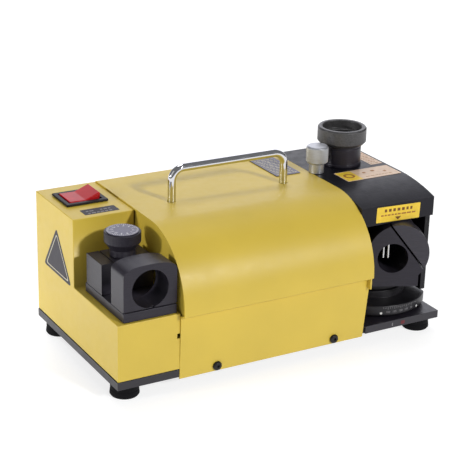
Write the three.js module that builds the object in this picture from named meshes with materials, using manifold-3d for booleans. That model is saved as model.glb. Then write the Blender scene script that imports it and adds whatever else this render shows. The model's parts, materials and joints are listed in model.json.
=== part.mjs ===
// Bench drill bit sharpener: a sheet-metal motor box on a base plate, a collet setting gauge on its
// left ledge, and a cast grinding head on its right with a swivelling drill port and a top port.
//
// Millimetres. While the pieces are made, X runs along the machine from the switch box's left face,
// Y from the front to the back, and Z up from the floor. The last lines centre the machine on X and Y.

import * as THREE from "three";
import { mergeVertices } from "three/addons/utils/BufferGeometryUtils.js";
import loadManifold from "manifold-3d";

const wasm = await loadManifold();
wasm.setup();

// Driving dimensions
const LENGTH = 320;
const DEPTH = 165;
const GAP = 0.3;
const SHEET = 1.5;
const CIRCLE_SIDES = 36;
const SMALL_SIDES = 12;

// Feet and base plate
const FOOT = { height: 12, radius: 12.5, bore: 2.4, recess: 5.8, sides: 20 };
const FOOT_X = [13.4, 307];
const FOOT_Y = [16, 149];
const PLATE_LEFT = -0.4;
const PLATE_BOTTOM = FOOT.height + GAP;
const PLATE_TOP = PLATE_BOTTOM + 7;

// Switch box and main cover
const BOX_RIGHT = 55.5;
const LEDGE_TOP = 69.6;
const UPPER_FRONT = 85.9;
const BOX_TOP = 130.4;
const SEAM_NOTCH = { left: 53.2, bottom: 47.5, top: 52 };
const COVER_LEFT = 55.8;
const COVER_RIGHT = 240.3;
const COVER_BOTTOM = 10.3;
const COVER_TOP = 132;
const COVER_ARC = { y: 54, z: 70, radius: 62 };
const COVER_CREASE = 66;
const COVER_LEAN = 1.5;
const COVER_BACK_BEND = 4;
const COVER_SLANT = { bottomX: 237.2, top: 54 };
const COVER_TAB = { width: 1.5, front: -5.5, bottom: 57.5, top: 67.2 };
const COVER_SCREW_X = [90.8, 206.8];
const COVER_SCREW_Z = 15.2;

// Cord gland in the box's back wall
const GLAND = { x: 28, z: 40, radius: 8, length: 13 };

// Carrying handle
const HANDLE = { left: 92, right: 203.5, y: 87, top: 161, bend: 9, radius: 3.5 };

// Rocker switch
const SWITCH = { x: 26.5, y: 130.5, width: 38, depth: 33, pivotZ: 131.7, tilt: 10 };

// Setting gauge on the ledge
const GAUGE = { left: 6, right: 53.6, front: 2, back: 75 };
const GAUGE_BASE_TOP = 77.9;
const GAUGE_BORE = { x: 29.7, z: 95.6, radius: 16.3 };
const FRONT_BLOCK = { back: 25, side: 107.8, top: 116.8, crest: 2.6, rebate: 1.2 };
const LEVEL_NOTCH = { left: 32, right: 34, depth: 2.4 };
const REAR_BLOCK = { front: 43, back: 72.5, top: 105, groove: 17.3 };
const GAUGE_KNOB = {
  x: 31, y: 56, bottom: 105.6, coneBottom: 111.5, coneTop: 117.5, top: 126.2, radius: 15.4, neck: 10.8,
};
const CAM = { bottom: 89, top: 102, least: 4.2, travel: 5, turn: 270 };

// Grinding head
const HEAD = { left: 240.6, right: 318, front: 16, wallFront: 20, top: 132, wall: 5 };
const NOSE = { bottom: 106.6, top: 124, arcBack: 70 };
const MOUTH = { left: 246.6, right: 313, back: 60.5 };
const CHAMBER = { front: 65, back: 160, top: 127 };
const WINDOW = { left: 276, right: 306, bottom: 60, top: 93 };

// Swivelling drill port. Its axis is at SWIVEL, the dial reads 0 at the front of the machine, and the
// drum stands on the dial turned to the left. Drum sizes are measured from the swivel axis.
const SWIVEL = { x: 282, y: 53, drumTurn: -24 };
const DIAL = { bottom: 19.9, top: 31, radius: 48.5, halfWidth: 36, back: 16, clearance: 49.5 };
const NECK = { radius: 30, boss: 7 };
const DRUM = {
  x: 14.05, z: 78.5, radius: 27.6, front: -43, shoulder: -27, back: -1, bottom: 48, right: 33,
  backRight: 29.5,
};
const DRUM_BORE = { x: 9, z: 74.8, radius: 13.8 };
const CAP_SPLIT = { angle: 38, distance: 16.2, clear: 0.8 };
const PIN = { x: [-7.65, -3.35], y: DRUM.front + 6, drop: 1.6, radius: 1.05 };
const PORT = { x: 281, y: 112, bore: 15.2 };
const LOCK_KNOB = { x: 245.6, y: 98 };

// Motor, shaft and wheel, all on one axis along X
const MOTOR_Y = 112;
const MOTOR_Z = 75;
const MOTOR = { left: 88, right: 196, radius: 43, wall: 4, shaft: 5, nose: 15 };
const WHEEL = { left: 285, right: 305, radius: 39, bevel: 7, bore: 8.3 };
const SHAFT_END = 313;
const SIDE_COVER = { radius: 48, opening: 40.5, rebate: 2, screwCircle: 44.5 };

// Materials

function painted(color) {
  return new THREE.MeshStandardMaterial({ color, roughness: 0.45, metalness: 0.1 });
}

function metal(color, roughness) {
  return new THREE.MeshStandardMaterial({ color, roughness, metalness: 0.9 });
}

function plastic(color) {
  return new THREE.MeshStandardMaterial({ color, roughness: 0.5, metalness: 0 });
}

const yellowPaint = () => painted(0xd2b848);
const blackPaint = () => painted(0x22212a);
const darkSteel = () => metal(0x45434a, 0.5);
const brightSteel = () => metal(0xb4b4b8, 0.3);
const chromePlate = () => metal(0xe0e0e4, 0.08);
const aluminium = () => metal(0xafb0b6, 0.4);
const blackRubber = () => new THREE.MeshStandardMaterial({ color: 0x151515, roughness: 0.85 });
const blackPlastic = () => plastic(0x18181a);
const redPlastic = () => plastic(0xc8281c);
const greenBoard = () => plastic(0x2c5a3c);
const abrasive = () => new THREE.MeshStandardMaterial({ color: 0x7c7468, roughness: 0.95 });

// Solids from outlines and profiles

function outline(points) {
  return new THREE.Shape(points.map(([a, b]) => new THREE.Vector2(a, b)));
}

function disc(a, b, radius) {
  return new THREE.Shape().absarc(a, b, radius, 0, 2 * Math.PI);
}

function extruded(shape, depth, sides) {
  return new THREE.ExtrudeGeometry(shape, { depth, bevelEnabled: false, curveSegments: sides / 2 });
}

// The outline is drawn in Y and Z.
function alongX(shape, x0, x1, sides = CIRCLE_SIDES) {
  const axes = new THREE.Matrix4().makeBasis(
    new THREE.Vector3(0, 1, 0), new THREE.Vector3(0, 0, 1), new THREE.Vector3(1, 0, 0));
  return extruded(shape, x1 - x0, sides).applyMatrix4(axes).translate(x0, 0, 0);
}

// The outline is drawn in X and Z.
function alongY(shape, y0, y1, sides = CIRCLE_SIDES) {
  const axes = new THREE.Matrix4().makeBasis(
    new THREE.Vector3(1, 0, 0), new THREE.Vector3(0, 0, 1), new THREE.Vector3(0, -1, 0));
  return extruded(shape, y1 - y0, sides).applyMatrix4(axes).translate(0, y1, 0);
}

// The outline is drawn in X and Y.
function alongZ(shape, z0, z1, sides = CIRCLE_SIDES) {
  return extruded(shape, z1 - z0, sides).translate(0, 0, z0);
}

function block(x0, x1, y0, y1, z0, z1) {
  const size = new THREE.BoxGeometry(x1 - x0, y1 - y0, z1 - z0);
  return size.translate((x0 + x1) / 2, (y0 + y1) / 2, (z0 + z1) / 2);
}

// Points are [radius, height], from the bottom up the outside, and the axis is Z.
function turned(profile, sides = CIRCLE_SIDES) {
  const points = profile.map(([radius, height]) => new THREE.Vector2(radius, height));
  return new THREE.LatheGeometry(points, sides).rotateX(Math.PI / 2);
}

// A turned ring: the profile goes on round the inside, back to where it began.
function turnedRing(profile, sides = CIRCLE_SIDES) {
  return turned([...profile, profile[0]], sides);
}

// Booleans

function toSolid(geometry) {
  const bare = geometry.clone();
  bare.deleteAttribute("normal");
  bare.deleteAttribute("uv");
  const merged = mergeVertices(bare, 1e-4);
  const corners = merged.index.array;
  const kept = [];
  for (let i = 0; i < corners.length; i += 3) {
    const [a, b, c] = corners.slice(i, i + 3);
    if (a !== b && b !== c && c !== a) kept.push(a, b, c);
  }
  return new wasm.Manifold(new wasm.Mesh({
    numProp: 3,
    vertProperties: new Float32Array(merged.attributes.position.array),
    triVerts: new Uint32Array(kept),
  }));
}

function toGeometry(solid) {
  const { vertProperties, triVerts } = solid.getMesh();
  const geometry = new THREE.BufferGeometry();
  geometry.setAttribute("position", new THREE.BufferAttribute(vertProperties, 3));
  geometry.setIndex(new THREE.BufferAttribute(triVerts, 1));
  geometry.computeVertexNormals();
  return geometry;
}

function joined(first, ...others) {
  return toGeometry(others.reduce((solid, other) => solid.add(toSolid(other)), toSolid(first)));
}

function cut(first, ...tools) {
  return toGeometry(tools.reduce((solid, tool) => solid.subtract(toSolid(tool)), toSolid(first)));
}

function shared(first, second) {
  return toGeometry(toSolid(first).intersect(toSolid(second)));
}

// Meshes and groups

function piece(name, geometry, material, parent) {
  const mesh = new THREE.Mesh(geometry, material);
  mesh.name = name;
  parent.add(mesh);
  return mesh;
}

function groupAt(parent, x, y, z) {
  const group = new THREE.Group();
  group.position.set(x, y, z);
  parent.add(group);
  return group;
}

const machine = new THREE.Group();

// Feet and base plate

function addFeet() {
  const { height, radius, bore, recess } = FOOT;
  const body = [
    [recess, 0], [radius - 1, 0], [radius, 1.5], [radius - 0.6, height], [bore, height], [bore, 5],
    [recess, 5],
  ];
  const screw = [[0, 2], [4.6, 2], [4.6, 5 - GAP], [2, 5 - GAP], [2, PLATE_TOP - 1], [0, PLATE_TOP - 1]];
  FOOT_X.forEach((x, i) => {
    FOOT_Y.forEach((y, j) => {
      const where = `${["front", "rear"][j]}_${["left", "right"][i]}`;
      const corner = groupAt(machine, x, y, 0);
      piece(`foot_${where}`, turnedRing(body, FOOT.sides), blackRubber(), corner);
      piece(`foot_screw_${where}`, turned(screw, SMALL_SIDES), brightSteel(), corner);
    });
  });
}

function addBasePlate() {
  const notch = SHEET + GAP + 0.1;
  const plate = alongZ(outline([
    [PLATE_LEFT, 0], [BOX_RIGHT, 0], [BOX_RIGHT, notch], [HEAD.left, notch], [HEAD.left, 0], [LENGTH, 0],
    [LENGTH, DEPTH], [HEAD.left, DEPTH], [HEAD.left, DEPTH - notch], [BOX_RIGHT, DEPTH - notch],
    [BOX_RIGHT, DEPTH], [PLATE_LEFT, DEPTH],
  ]), PLATE_BOTTOM, PLATE_TOP);
  const holes = [alongZ(disc(SWIVEL.x, SWIVEL.y, 4.6), 0, 30, SMALL_SIDES)];
  for (const x of FOOT_X) {
    for (const y of FOOT_Y) holes.push(alongZ(disc(x, y, 2.3), 0, 30, SMALL_SIDES));
  }
  for (const x of COVER_SCREW_X) {
    holes.push(alongY(disc(x, COVER_SCREW_Z, 2), -1, 12, SMALL_SIDES));
    holes.push(alongY(disc(x, COVER_SCREW_Z, 2), DEPTH - 12, DEPTH + 1, SMALL_SIDES));
  }
  for (let slot = 0; slot < 5; slot += 1) {
    const x = 66 + slot * 7;
    holes.push(block(x, x + 3.5, 70, 150, 0, 30));
  }
  piece("base_plate", cut(plate, ...holes), blackPaint(), machine);
}

// Main cover: one sheet bent over the motor, and the walls that close its two ends

// The cover's section, drawn anticlockwise when seen from the right end. inset is how far the line
// lies inside the sheet's outer face, and bottom is the height where both walls end.
function coverLine(inset, bottom) {
  const { y, z, radius } = COVER_ARC;
  const arc = new THREE.EllipseCurve(
    y, z, radius - inset, radius - inset, Math.PI, Math.PI / 2, true);
  const lipZ = z - (inset > 0 ? 0.5 : 1.5);
  const leanAtTop = COVER_LEAN - inset;
  const bend = COVER_BACK_BEND - Math.min(inset, 2);
  const corner = new THREE.EllipseCurve(
    DEPTH - inset - bend, COVER_TOP - inset - bend, bend, bend, Math.PI / 2, 0, true);
  return [
    new THREE.Vector2(inset, bottom),
    new THREE.Vector2(-leanAtTop, COVER_CREASE + inset * 0.6),
    new THREE.Vector2(y - radius + inset, lipZ),
    ...arc.getPoints(28),
    ...corner.getPoints(4),
    new THREE.Vector2(DEPTH - inset, bottom),
  ];
}

function addMainCover() {
  const outer = coverLine(0, COVER_BOTTOM);
  const inner = coverLine(SHEET, COVER_BOTTOM).reverse();
  const sheet = alongX(new THREE.Shape([...outer, ...inner]), COVER_LEFT, COVER_RIGHT);
  const tab = block(
    COVER_RIGHT - COVER_TAB.width, COVER_RIGHT, COVER_TAB.front, -0.5, COVER_TAB.bottom, COVER_TAB.top);
  const slant = outline([
    [COVER_SLANT.bottomX, COVER_BOTTOM - 1], [COVER_RIGHT + 5, COVER_BOTTOM - 1],
    [COVER_RIGHT + 5, COVER_SLANT.top], [COVER_RIGHT, COVER_SLANT.top],
  ]);
  const holes = [alongY(slant, -10, 5)];
  for (const x of COVER_SCREW_X) {
    holes.push(alongY(disc(x, COVER_SCREW_Z, 2.1), -10, DEPTH + 10, SMALL_SIDES));
  }
  for (const x of [HANDLE.left, HANDLE.right]) {
    holes.push(alongZ(disc(x, HANDLE.y, HANDLE.radius + 0.4), COVER_TOP - 5, COVER_TOP + 5, SMALL_SIDES));
  }
  piece("main_cover", cut(joined(sheet, tab), ...holes), yellowPaint(), machine);
}

// A wall that closes the cover at x, with one round hole at (y, z).
function coverEnd(name, x, holeY, holeZ, holeRadius) {
  const wall = new THREE.Shape(coverLine(SHEET + GAP, PLATE_TOP + GAP));
  wall.holes.push(new THREE.Path().absarc(holeY, holeZ, holeRadius, 0, 2 * Math.PI));
  piece(name, alongX(wall, x, x + SHEET, 32), yellowPaint(), machine);
}

function addCoverScrews() {
  const profile = [[0, -9], [1.7, -9], [1.7, GAP], [4, GAP], [4, 1.4], [2.8, 2.3], [0, 2.3]];
  const faces = [["front", -0.2, Math.PI / 2], ["rear", DEPTH, -Math.PI / 2]];
  for (const [face, y, turn] of faces) {
    COVER_SCREW_X.forEach((x, i) => {
      const name = `cover_screw_${face}_${["left", "right"][i]}`;
      const screw = piece(name, turned(profile, SMALL_SIDES), darkSteel(), machine);
      screw.position.set(x, y, COVER_SCREW_Z);
      screw.rotation.x = turn;
    });
  }
}

// Switch box with its ledge, the switch and the cord gland

function boxSection(inset, bottom) {
  return outline([
    [inset, bottom], [DEPTH - inset, bottom], [DEPTH - inset, BOX_TOP - inset],
    [UPPER_FRONT + inset, BOX_TOP - inset], [UPPER_FRONT + inset, LEDGE_TOP - inset],
    [inset, LEDGE_TOP - inset],
  ]);
}

function addSwitchBox() {
  const outside = alongX(boxSection(0, PLATE_TOP + GAP), 0, BOX_RIGHT);
  const inside = alongX(boxSection(SHEET, 0), SHEET, BOX_RIGHT + 10);
  const { x, y } = SWITCH;
  const switchHole = block(x - 17, x + 17, y - 14.5, y + 14.5, BOX_TOP - 5, BOX_TOP + 5);
  const glandHole = alongY(disc(GLAND.x, GLAND.z, GLAND.radius + GAP), DEPTH - 5, DEPTH + 5, SMALL_SIDES);
  const notch = block(SEAM_NOTCH.left, BOX_RIGHT + 5, -5, 5, SEAM_NOTCH.bottom, SEAM_NOTCH.top);
  piece("switch_box", cut(outside, inside, switchHole, glandHole, notch), yellowPaint(), machine);
}

function addCordGland() {
  const profile = [
    [4, -8], [GLAND.radius, -8], [GLAND.radius, GAP], [10.5, GAP], [10.5, 6], [7.5, GLAND.length],
    [4, GLAND.length],
  ];
  const gland = piece("cord_gland", turnedRing(profile, 16), blackPlastic(), machine);
  gland.position.set(GLAND.x, DEPTH, GLAND.z);
  gland.rotation.x = -Math.PI / 2;
}

function addSwitch() {
  const seat = groupAt(machine, SWITCH.x, SWITCH.y, SWITCH.pivotZ);
  const bezel = block(-SWITCH.width / 2, SWITCH.width / 2, -SWITCH.depth / 2, SWITCH.depth / 2, -1, 1);
  const can = block(-16.5, 16.5, -14, 14, -19, 0);
  const well = block(-15.2, 15.2, -12.5, 12.5, -11, 5);
  piece("switch_body", cut(joined(bezel, can), well), blackPlastic(), seat);
  const section = outline([
    [-10, -6], [10, -6], [14.2, 1.5], [14, 4.2], [0, 1.4], [-14, 4.2], [-14.2, 1.5],
  ]);
  const rocker = piece("switch_rocker", alongY(section, -12.1, 12.1), redPlastic(), seat);
  rocker.rotation.y = THREE.MathUtils.degToRad(-SWITCH.tilt);
}

// Carrying handle: a bent bar whose legs go through the cover into a nut each

function addHandle() {
  const { left, right, y, top, bend, radius } = HANDLE;
  const low = COVER_TOP - 8;
  const k = bend * 0.4477;
  const at = (x, z) => new THREE.Vector3(x, y, z);
  const route = new THREE.CurvePath();
  route.add(new THREE.LineCurve3(at(left, low), at(left, top - bend)));
  route.add(new THREE.CubicBezierCurve3(
    at(left, top - bend), at(left, top - k), at(left + k, top), at(left + bend, top)));
  route.add(new THREE.LineCurve3(at(left + bend, top), at(right - bend, top)));
  route.add(new THREE.CubicBezierCurve3(
    at(right - bend, top), at(right - k, top), at(right, top - k), at(right, top - bend)));
  route.add(new THREE.LineCurve3(at(right, top - bend), at(right, low)));
  const bar = new THREE.ExtrudeGeometry(disc(0, 0, radius), {
    steps: 40, curveSegments: 5, extrudePath: route,
  });
  piece("carry_handle", bar, chromePlate(), machine);
  [left, right].forEach((x, i) => {
    const nut = new THREE.Shape();
    for (let side = 0; side < 6; side += 1) {
      const angle = (side * Math.PI) / 3;
      const corner = [x + 7 * Math.cos(angle), y + 7 * Math.sin(angle)];
      if (side === 0) nut.moveTo(...corner);
      else nut.lineTo(...corner);
    }
    nut.holes.push(new THREE.Path().absarc(x, y, radius + 0.4, 0, 2 * Math.PI));
    const under = COVER_TOP - SHEET - GAP;
    const name = `handle_nut_${["left", "right"][i]}`;
    piece(name, alongZ(nut, under - 5, under, SMALL_SIDES), brightSteel(), machine);
  });
}

// Setting gauge: the collet goes in the front block's bore, and the drill's tip meets the stop that
// the numbered knob moves with a spiral cam.

function addGaugeBlocks() {
  const { left, right, front, back } = GAUGE;
  const slab = block(left, right, front, back, LEDGE_TOP + GAP, GAUGE_BASE_TOP);
  piece("gauge_base", slab, darkSteel(), machine);

  const bottom = GAUGE_BASE_TOP + GAP;
  const arch = outline([[left, bottom], [right, bottom], ...crestLine(left, right, 24)]);
  arch.holes.push(new THREE.Path().absarc(GAUGE_BORE.x, GAUGE_BORE.z, GAUGE_BORE.radius, 0, 2 * Math.PI));
  const rebateTop = bottom + FRONT_BLOCK.rebate;
  const rebate = block(left - 5, right + 5, front - 5, front + FRONT_BLOCK.rebate, bottom - 1, rebateTop);
  const level = block(
    LEVEL_NOTCH.left, LEVEL_NOTCH.right, front - 5, front + LEVEL_NOTCH.depth, bottom - 1, rebateTop + 0.8);
  const frontBlock = cut(alongY(arch, front, FRONT_BLOCK.back), rebate, level);
  piece("gauge_front_block", frontBlock, darkSteel(), machine);

  const rear = block(left, right - 0.6, REAR_BLOCK.front, REAR_BLOCK.back, bottom, REAR_BLOCK.top);
  const groove = block(
    REAR_BLOCK.groove - 0.5, REAR_BLOCK.groove + 0.5, 0, DEPTH, REAR_BLOCK.top - 1, REAR_BLOCK.top + 5);
  const camPocket = alongZ(
    disc(GAUGE_KNOB.x, GAUGE_KNOB.y, CAM.least + CAM.travel + 0.6), 0, CAM.top + GAP, SMALL_SIDES);
  const spindleHole = alongZ(disc(GAUGE_KNOB.x, GAUGE_KNOB.y, 3.8), CAM.top, 120, SMALL_SIDES);
  const stopHole = alongY(
    disc(GAUGE_KNOB.x, GAUGE_BORE.z, 3.3), REAR_BLOCK.front - 5, GAUGE_KNOB.y, SMALL_SIDES);
  const rearBlock = cut(rear, groove, camPocket, spindleHole, stopHole);
  piece("gauge_rear_block", rearBlock, darkSteel(), machine);
}

// The front block's top, from right to left: half of a superellipse, flatter than a round arch.
function crestLine(left, right, steps) {
  const half = (right - left) / 2;
  const rise = FRONT_BLOCK.top - FRONT_BLOCK.side;
  const power = 2 / FRONT_BLOCK.crest;
  return Array.from({ length: steps + 1 }, (_, i) => {
    const angle = (Math.PI * i) / steps;
    const across = Math.sign(Math.cos(angle)) * Math.abs(Math.cos(angle)) ** power;
    return [left + half + half * across, FRONT_BLOCK.side + rise * Math.sin(angle) ** power];
  });
}

// The spiral's radius grows as the knob turns anticlockwise, and is level just past both ends.
function camOutline() {
  const level = 30;
  const points = [];
  for (let angle = -level; angle <= CAM.turn + level; angle += 10) {
    const share = THREE.MathUtils.clamp(angle / CAM.turn, 0, 1);
    const radius = CAM.least + CAM.travel * share;
    const bearing = THREE.MathUtils.degToRad(-90 - angle);
    points.unshift([radius * Math.cos(bearing), radius * Math.sin(bearing)]);
  }
  return outline(points);
}

function addGaugeKnob() {
  const { x, y, bottom, coneBottom, coneTop, top, radius, neck } = GAUGE_KNOB;
  const axis = groupAt(machine, x, y, 0);
  const knob = [
    [3.8, bottom], [neck, bottom], [neck, coneBottom], [radius - 0.2, coneTop], [radius, coneTop + 0.2],
    [radius, top - 0.8], [radius - 0.8, top], [0, top], [0, bottom + 9], [3.8, bottom + 9],
  ];
  piece("gauge_knob", turnedRing(knob), darkSteel(), axis);
  const plate = [[0, top + GAP], [13.6, top + GAP], [13.6, top + 0.9], [0, top + 0.9]];
  piece("gauge_dial_plate", turned(plate), aluminium(), axis);
  const [low, high] = [CAM.bottom - 6, bottom + 8.5];
  const spindle = turned([[0, low], [3.5, low], [3.5, high], [0, high]], SMALL_SIDES);
  const cam = alongZ(camOutline(), CAM.bottom, CAM.top);
  piece("gauge_spindle", joined(spindle, cam), brightSteel(), axis);
}

function addGaugeStop() {
  const length = 20;
  const rod = turned([[0, 0], [1.2, 0], [3, 2], [3, length - 1], [2, length], [0, length]], SMALL_SIDES);
  const stop = piece("gauge_stop", rod, brightSteel(), machine);
  stop.position.set(GAUGE_KNOB.x, GAUGE_KNOB.y - CAM.least - 0.5, GAUGE_BORE.z);
  stop.rotation.x = Math.PI / 2;
}

// Grinding head

function headOutline() {
  const { front, wallFront, top } = HEAD;
  const rise = top - NOSE.top;
  const run = NOSE.arcBack - front;
  const radius = (run * run + rise * rise) / (2 * rise);
  const sweep = Math.asin(run / radius);
  const shape = new THREE.Shape();
  shape.moveTo(wallFront, PLATE_TOP + GAP);
  shape.lineTo(DEPTH, PLATE_TOP + GAP);
  shape.absarc(DEPTH - 4, top - 4, 4, 0, Math.PI / 2);
  shape.absarc(NOSE.arcBack, top - radius, radius, Math.PI / 2, Math.PI / 2 + sweep);
  shape.lineTo(front, NOSE.bottom);
  shape.lineTo(wallFront, NOSE.bottom);
  return shape;
}

function addHeadHousing() {
  const { left, right, wall } = HEAD;
  const floor = PLATE_TOP - 5;
  const dialSlot = alongZ(disc(SWIVEL.x, SWIVEL.y, DIAL.clearance), floor, DIAL.top + 2.6);
  const mouth = block(MOUTH.left, MOUTH.right, -20, MOUTH.back, floor, NOSE.bottom);
  const chamber = block(left + wall, right - wall, CHAMBER.front, CHAMBER.back, floor, CHAMBER.top);
  const window = block(
    WINDOW.left, WINDOW.right, MOUTH.back - 5, CHAMBER.front + 5, WINDOW.bottom, WINDOW.top);
  const shaftHole = alongX(disc(MOTOR_Y, MOTOR_Z, MOTOR.nose + 0.5), left - 5, left + 10);
  const wheelHole = alongX(disc(MOTOR_Y, MOTOR_Z, SIDE_COVER.opening), right - 10, right + 5);
  const rebate = alongX(
    disc(MOTOR_Y, MOTOR_Z, SIDE_COVER.radius + GAP), right - SIDE_COVER.rebate, right + 5);
  const portHole = alongZ(disc(PORT.x, PORT.y, PORT.bore + 1), 100, 150);
  const knobHole = alongZ(disc(LOCK_KNOB.x, LOCK_KNOB.y, 3.4), HEAD.top - 4, 150, SMALL_SIDES);
  const screwHoles = sideScrewPlaces().map(
    ([y, z]) => alongX(disc(y, z, 1.8), right - 8, right + 5, SMALL_SIDES));
  const housing = cut(
    alongX(headOutline(), left, right), dialSlot, mouth, chamber, window, shaftHole, wheelHole, rebate,
    portHole, knobHole, ...screwHoles);
  piece("head_housing", housing, blackPaint(), machine);
}

function sideScrewPlaces() {
  return [90, 210, 330].map((degrees) => {
    const angle = THREE.MathUtils.degToRad(degrees);
    const { screwCircle } = SIDE_COVER;
    return [MOTOR_Y + screwCircle * Math.cos(angle), MOTOR_Z + screwCircle * Math.sin(angle)];
  });
}

function addSideCover() {
  const face = HEAD.right;
  const plate = disc(MOTOR_Y, MOTOR_Z, SIDE_COVER.radius);
  const profile = [[0, -6], [1.5, -6], [1.5, GAP], [2.9, GAP], [2.9, 1.4], [2.2, 1.9], [0, 1.9]];
  sideScrewPlaces().forEach(([y, z], i) => {
    plate.holes.push(new THREE.Path().absarc(y, z, 1.8, 0, 2 * Math.PI));
    const screw = piece(`side_cover_screw_${i + 1}`, turned(profile, SMALL_SIDES), darkSteel(), machine);
    screw.position.set(face, y, z);
    screw.rotation.y = Math.PI / 2;
  });
  piece("head_side_cover", alongX(plate, face - SIDE_COVER.rebate + GAP, face), blackPaint(), machine);
}

// The swivelling drill port: a graduated dial with a neck, and on it a drum with the collet's bore, two
// index pins and a clamp cap. Its own origin is on the swivel axis at the floor.

function dialSolid() {
  const { bottom, top, radius, halfWidth, back } = DIAL;
  const disk = turned([
    [0, bottom], [radius - 2.5, bottom], [radius, bottom + 2.5], [radius, top - 0.6], [radius - 0.6, top],
    [0, top],
  ], 72);
  const sector = shared(disk, block(-halfWidth, halfWidth, -100, back, 0, 100));
  const neckTop = DRUM.bottom - GAP;
  const rings = turned([
    [0, top - 1], [NECK.radius, top - 1], [NECK.radius, 37.5], [NECK.radius - 2, 38.5],
    [NECK.radius - 2, 43], [NECK.radius - 0.5, 44], [NECK.radius - 0.5, neckTop], [0, neckTop],
  ]);
  const neck = cut(rings, block(-50, 50, 0, 50, 0, 100));
  const boss = alongZ(disc(0, 0, NECK.boss), top - 1, neckTop, SMALL_SIDES);
  const boltHole = alongZ(disc(0, 0, 4.7), 0, 42, SMALL_SIDES);
  return cut(joined(sector, neck, boss), boltHole);
}

function drumSection() {
  const { x, z, radius, bottom, right } = DRUM;
  const shape = new THREE.Shape();
  shape.moveTo(x - radius, bottom);
  shape.lineTo(right, bottom);
  shape.absarc(x, z, radius, -Math.acos((right - x) / radius), Math.PI);
  return shape;
}

function drumSolid() {
  const front = alongY(drumSection(), DRUM.front, DRUM.shoulder);
  const narrow = block(-100, DRUM.backRight, -100, 100, 0, 150);
  const back = shared(alongY(drumSection(), DRUM.shoulder - 1, DRUM.back), narrow);
  const bore = alongY(disc(DRUM_BORE.x, DRUM_BORE.z, DRUM_BORE.radius), -100, 60);
  const pinHoles = PIN.x.map((x) => alongZ(
    disc(DRUM_BORE.x + x, PIN.y, PIN.radius + GAP), DRUM_BORE.z, DRUM_BORE.z + 21.5, SMALL_SIDES));
  return cut(joined(front, back), bore, ...pinHoles);
}

// All space beyond the slanting split, moved outwards by clear.
function beyondSplit(clear) {
  const angle = THREE.MathUtils.degToRad(CAP_SPLIT.angle);
  const space = block(CAP_SPLIT.distance + clear, 100, -100, 100, -100, 100);
  return space.rotateY(-angle).translate(DRUM_BORE.x, 0, DRUM_BORE.z);
}

function addSwivel() {
  const axis = groupAt(machine, SWIVEL.x, SWIVEL.y, 0);
  piece("swivel_dial", dialSolid(), darkSteel(), axis);
  const turnedLeft = groupAt(axis, 0, 0, 0);
  turnedLeft.rotation.z = THREE.MathUtils.degToRad(SWIVEL.drumTurn);
  const drum = drumSolid();
  piece("swivel_drum", cut(drum, beyondSplit(-CAP_SPLIT.clear)), darkSteel(), turnedLeft);
  piece("drum_cap", shared(drum, beyondSplit(CAP_SPLIT.clear)), darkSteel(), turnedLeft);
  const { radius } = PIN;
  const pin = [[0, 0], [radius - 0.4, 0], [radius, 0.6], [radius, 20], [0, 20]];
  PIN.x.forEach((x, i) => {
    const mesh = piece(`index_pin_${i + 1}`, turned(pin, SMALL_SIDES), brightSteel(), turnedLeft);
    mesh.position.set(DRUM_BORE.x + x, PIN.y, DRUM_BORE.z - PIN.drop);
  });
  const bolt = [[0, 6.5], [7, 6.5], [7, FOOT.height], [4.2, FOOT.height], [4.2, 40], [0, 40]];
  const pivot = piece("swivel_bolt", turned(bolt, SMALL_SIDES), brightSteel(), machine);
  pivot.position.set(SWIVEL.x, SWIVEL.y, 0);
}

// Top port and its lock knob

function addTopPort() {
  const axis = groupAt(machine, PORT.x, PORT.y, HEAD.top);
  const { bore } = PORT;
  const collar = [[bore, GAP], [18.8, GAP], [18.8, 2.5], [18.3, 3], [18.3, 20], [bore, 20]];
  piece("port_collar", turnedRing(collar), darkSteel(), axis);
  const ring = [
    [bore + 0.5, 20 + GAP], [20.6, 20 + GAP], [22.5, 22.5], [22.5, 34.3], [21.4, 35.6], [18.8, 35.6],
    [18, 34.8], [18, 28], [bore + 0.5, 27],
  ];
  piece("port_ring", turnedRing(ring), darkSteel(), axis);
}

function addLockKnob() {
  const knob = [
    [0, -3.5], [3, -3.5], [3, GAP], [6.8, GAP], [6.8, 9.5], [8.6, 9.5], [10, 11], [10, 24], [8.6, 25.5],
    [0, 25.5],
  ];
  const mesh = piece("lock_knob", turned(knob, 24), aluminium(), machine);
  mesh.position.set(LOCK_KNOB.x, LOCK_KNOB.y, HEAD.top);
}

// Motor and wheel. In this group local Z is the machine's X, so heights in the profiles are X.

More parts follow.
